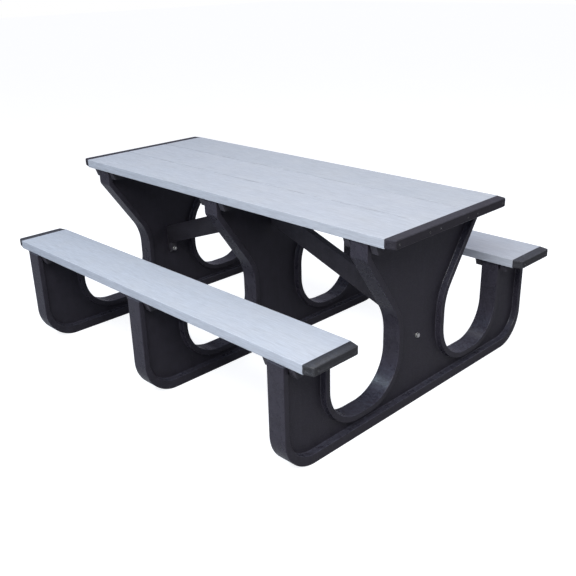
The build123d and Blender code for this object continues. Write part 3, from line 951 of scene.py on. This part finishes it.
def ring_piece(name, inner, outer, thickness):
    """A washer: a small rounded section spun round the X axis, from x = 0."""
    slice_depth = 0.1 * MM
    piece = start_block(name, (0, inner, 0), (thickness, outer, slice_depth))
    edit_piece()
    pick("faces", lambda place, normal: normal.z < 0.9)
    bpy.ops.mesh.delete(type="FACE")
    bpy.ops.mesh.select_mode(type="VERT")
    bpy.ops.mesh.select_all(action="SELECT")
    bpy.ops.transform.translate(value=(0, 0, -slice_depth))
    bpy.ops.mesh.bevel(offset=thickness * 0.22, segments=2, affect="VERTICES")
    bpy.ops.mesh.select_all(action="SELECT")
    bpy.ops.mesh.delete(type="ONLY_FACE")
    bpy.ops.mesh.select_all(action="SELECT")
    bpy.ops.mesh.spin(steps=36, angle=2 * math.pi, center=(0, 0, 0), axis=(1, 0, 0))
    leave_edit()
    tidy_mesh(piece)
    finish_shading(piece)
    return piece


def nut_piece(name, size, height):
    """A hexagon nut from x = 0, bored for its bolt."""
    shank, across_flats, _ = size
    piece = hexagon_piece(name, across_flats, height)
    bore = start_bar("nut_bore", shank / 2 + nut_play, -overrun, height + overrun)
    cut_with(piece, bore)
    tidy_mesh(piece)
    soften(piece, hexagon_rounding, 1, 40)
    return piece


def screw_piece(name, size, length):
    """A pan-head screw up +Z with the underside of its head at z = 0."""
    shank, head_width, head_height = size
    crown, socket_radius = head_height * 0.45, shank * 0.46
    piece = start_bar(name, head_width / 2, -head_height, 0, 28, "z")
    edit_piece()
    pick("edges", lambda place, along: near(place.z, -head_height) and abs(along.z) < 0.1)
    bpy.ops.mesh.bevel(offset=crown, segments=4, affect="EDGES")
    pick("faces", lambda place, normal: normal.z > 0.9)
    bpy.ops.mesh.inset(thickness=(head_width - shank) / 2)
    for step in (length - screw_tip, screw_tip):
        bpy.ops.mesh.extrude_region_move(TRANSFORM_OT_translate={"value": (0, 0, step)})
    bpy.ops.transform.resize(
        value=(screw_tip_width, screw_tip_width, 1), center_override=(0, 0, length)
    )
    leave_edit()
    socket_ends = -head_height - overrun, -head_height + socket_depth
    cut_with(piece, start_bar("socket", socket_radius, *socket_ends, 6, "z"))
    tidy_mesh(piece)
    finish_shading(piece)
    return piece


def bolts_through(grip, size, nut_height, washer, starts):
    """Bolts, washers and nuts through a stack grip thick, one set at each start matrix."""
    washer_width, washer_thickness = washer
    nut_start = grip + washer_thickness
    tip = nut_start + nut_height + bolt_tail
    bolt = bolt_piece("bolt_pattern", size, tip + washer_thickness)
    ring = ring_piece(
        "washer_pattern", size[0] / 2 + washer_play, washer_width / 2, washer_thickness
    )
    nut = nut_piece("nut_pattern", size, nut_height)
    bolts = [copy_piece(bolt, "bolt", start @ move(x=-washer_thickness)) for start in starts]
    nuts = [copy_piece(nut, "nut", start @ move(x=nut_start)) for start in starts]
    rings = [
        copy_piece(ring, "washer", start @ move(x=x))
        for start in starts for x in (-washer_thickness, grip)
    ]
    for pattern in (bolt, ring, nut):
        bpy.data.objects.remove(pattern)
    return bolts, rings, nuts


def place_group(pieces, node, look=zinc_look, slot="zinc_plated_steel"):
    place_piece(join_pieces(pieces, f"{node}_set"), look, slot, node)


table_batten_low, table_batten_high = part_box("middle_frame_table_batten_right")
seat_batten_low, seat_batten_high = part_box("middle_frame_back_seat_batten_right")
table_bolt_height = (table_batten_low.z + table_batten_high.z) / 2
seat_bolt_height = (seat_batten_low.z + seat_batten_high.z) / 2
plank_rows = {row: middle_of(f"table_plank_{row}").y for row in ("front", "middle", "back")}
bolt_rows = [
    ((plank_rows["front"] + plank_rows["middle"]) / 2, table_bolt_height),
    ((plank_rows["middle"] + plank_rows["back"]) / 2, table_bolt_height),
    (-seat_middle, seat_bolt_height),
    (seat_middle, seat_bolt_height),
]
batten_starts = [
    move(frame_middles[name] - table_batten_high.x, y, z) for name in frames for y, z in bolt_rows
]
batten_sets = bolts_through(
    2 * table_batten_high.x, m8, m8_nut_height, m8_washer, batten_starts
)
for pieces, node in zip(batten_sets, ("batten_bolts", "batten_bolt_washers", "batten_bolt_nuts")):
    place_group(pieces, node)

block_low, block_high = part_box("brace_foot_block_right")
outer_web_face = block_high.x + 2 * half_web
face_about = Matrix.Rotation(math.pi, 4, "Z")
foot_start = move(outer_web_face, 0, middle_of("brace_foot_bolts").z) @ face_about
foot_bolts, foot_rings, foot_nuts = bolts_through(
    outer_web_face - block_low.x, m10, m10_nut_height, m10_washer,
    [foot_start, face_about @ foot_start],
)
head_block_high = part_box("brace_head_block_right")[1]
head_bolts, head_rings, head_nuts = bolts_through(
    2 * head_block_high.x, m10, m10_nut_height, m10_washer,
    [move(-head_block_high.x, 0, middle_of("brace_head_bolt").z)],
)
place_group(foot_bolts, "brace_foot_bolts")
place_group(head_bolts, "brace_head_bolt")
place_group(foot_rings + head_rings, "brace_bolt_washers")
place_group(foot_nuts + head_nuts, "brace_bolt_nuts")

# screws up through the battens
batten_middle = (half_web + table_batten_high.x) / 2
screw_columns = [
    frame_middles[name] + side * batten_middle for name in frames for side in (-1, 1)
]
plank_screw_one = screw_piece("plank_screw", plank_screw, plank_screw_length)


def plank_screw_set(rows, height):
    return [
        copy_piece(plank_screw_one, "screw", move(x, row + spread, height))
        for x in screw_columns for row in rows
        for spread in (-plank_screw_spread, plank_screw_spread)
    ]


table_screws = plank_screw_set(plank_rows.values(), table_batten_low.z)
seat_screws = plank_screw_set((-seat_middle, seat_middle), seat_batten_low.z)
place_group(table_screws, "table_plank_screws")
place_group(seat_screws, "seat_plank_screws")
bpy.data.objects.remove(plank_screw_one)

# screws through the end caps
cap_screw_one = screw_piece("cap_screw", plank_screw, cap_screw_length)
cap_screw_seat = cad_high.x - cap_hole_depth
inward = move(x=cap_screw_seat) @ Matrix.Rotation(-math.pi / 2, 4, "Y")


def cap_screw_set(rows, height):
    return [
        copy_piece(cap_screw_one, "screw", move(0, row, height) @ turned @ inward)
        for row in rows for turned in (as_it_is, swap_ends)
    ]


table_cap_set = cap_screw_set(table_cap_screw_places, middle_of("table_plank_middle").z)
seat_cap_rows = [side * place for place in seat_cap_screw_places for side in (-1, 1)]
seat_cap_set = cap_screw_set(seat_cap_rows, middle_of("back_seat_plank").z)
place_group(table_cap_set, "table_cap_screws", stainless_look, "stainless_steel")
place_group(seat_cap_set, "seat_cap_screws", stainless_look, "stainless_steel")
bpy.data.objects.remove(cap_screw_one)

# screws through the blocks into the braces
brace_low, brace_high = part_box("brace_right")
block_screw_x = (block_low.x + block_high.x) / 2
brace_rise_at_screw = brace_low.z + (block_high.x - block_screw_x) * math.tan(brace_angle)
block_screw_length = brace_rise_at_screw - block_low.z + block_screw_bite
block_screw_one = screw_piece("block_screw", block_screw, block_screw_length)
low_screws = [
    move(block_screw_x, side * block_screw_spread, block_low.z) for side in (-1, 1)
]
brace_centre = (brace_low + brace_high) / 2
half_turn = move(*brace_centre) @ Matrix.Rotation(math.pi, 4, "Y") @ move(*-brace_centre)
right_screws = low_screws + [half_turn @ matrix for matrix in low_screws]
block_screws = [
    copy_piece(block_screw_one, "screw", turned @ matrix)
    for matrix in right_screws for turned in (as_it_is, swap_ends)
]
place_group(block_screws, "brace_screws")
bpy.data.objects.remove(block_screw_one)


# ---- floor, light and camera --------------------------------------------------------------
floor_lift = 0.86                # the floor as the camera sees it, as pale as the backdrop
floor_size, floor_drop = 60, 0.2 * MM


def floor_paint():
    material, nodes, shader, place = start_material("pale_floor")
    patches = nodes.noise(place, 1.3, 4.0, 0.6)
    colour = nodes.mix(patches, (0.42, 0.43, 0.45, 1), (0.46, 0.46, 0.47, 1))
    nodes.set(shader.inputs["Base Color"], colour)
    shader.inputs["Roughness"].default_value = 0.75
    shader.inputs["Specular IOR Level"].default_value = 0.2
    seen = nodes.add("ShaderNodeLightPath").outputs["Is Camera Ray"]
    nodes.set(shader.inputs["Emission Strength"], nodes.times(seen, floor_lift))
    shader.inputs["Emission Color"].default_value = (0.98, 0.99, 1.0, 1)
    return material


clear_selection()
bpy.ops.mesh.primitive_plane_add(size=floor_size, location=(0, 0, cad_low.z - floor_drop))
floor = name_piece("floor")
apply_place(floor)
floor.data.materials.append(floor_paint())


def soft_light(name, place, aim, size, power, colour):
    """A rectangular light, in watts, turned to its aim."""
    data = bpy.data.lights.new(name, "AREA")
    data.shape = "RECTANGLE"
    data.size, data.size_y = size
    data.energy = power
    data.color = colour
    light = bpy.data.objects.new(name, data)
    light.location = place
    light.rotation_euler = (Vector(aim) - Vector(place)).to_track_quat("-Z", "Y").to_euler()
    bpy.context.scene.collection.objects.link(light)


soft_light("key", (2.4, -2.5, 3.2), (0, 0, 0.4), (2.2, 1.6), 146, (1.0, 0.995, 0.985))
soft_light("front_low", (1.5, -4.2, 1.4), (0.5, 0, 0.4), (2.0, 1.2), 26, (0.82, 0.92, 1.0))
soft_light("overhead", (0.1, 1.1, 3.4), (0, 0.3, 0.4), (3.2, 2.4), 50, (0.97, 0.985, 1.0))
soft_light("front_left", (-1.3, -1.9, 2.9), (0.4, -0.2, 0.2), (1.1, 0.6), 26, (0.70, 0.88, 1.0))
soft_light("back_right", (2.6, 3.6, 2.0), (0, 0, 0.4), (2.0, 1.4), 16, (0.92, 0.96, 1.0))

world = bpy.data.worlds.new("studio")
bpy.context.scene.world = world
world.use_nodes = True
sky = Nodes(world.node_tree)
backdrop = world.node_tree.nodes["Background"]
sky_seen = sky.add("ShaderNodeLightPath").outputs["Is Camera Ray"]
sky.set(backdrop.inputs["Color"], sky.mix(sky_seen, (0.275, 0.27, 0.335, 1), (1.0, 1.0, 1.0, 1)))
backdrop.inputs["Strength"].default_value = 1.0
bpy.context.scene.view_settings.view_transform = "Standard"

camera_data = bpy.data.cameras.new("camera")
camera_data.lens = 48.587
camera_data.sensor_width = 36
camera_data.clip_end = 100
camera_turn, camera_roll = 0.7959, -0.0253       # radians
camera_dip = math.radians(22.22)                 # below level
camera = bpy.data.objects.new("camera", camera_data)
camera.matrix_world = (
    move(2.3266, -2.1903, 1.5442)
    @ Matrix.Rotation(camera_turn, 4, "Z")
    @ Matrix.Rotation(math.pi / 2 - camera_dip, 4, "X")
    @ Matrix.Rotation(camera_roll, 4, "Z")
)
bpy.context.scene.collection.objects.link(camera)
bpy.context.scene.camera = camera

clear_selection()
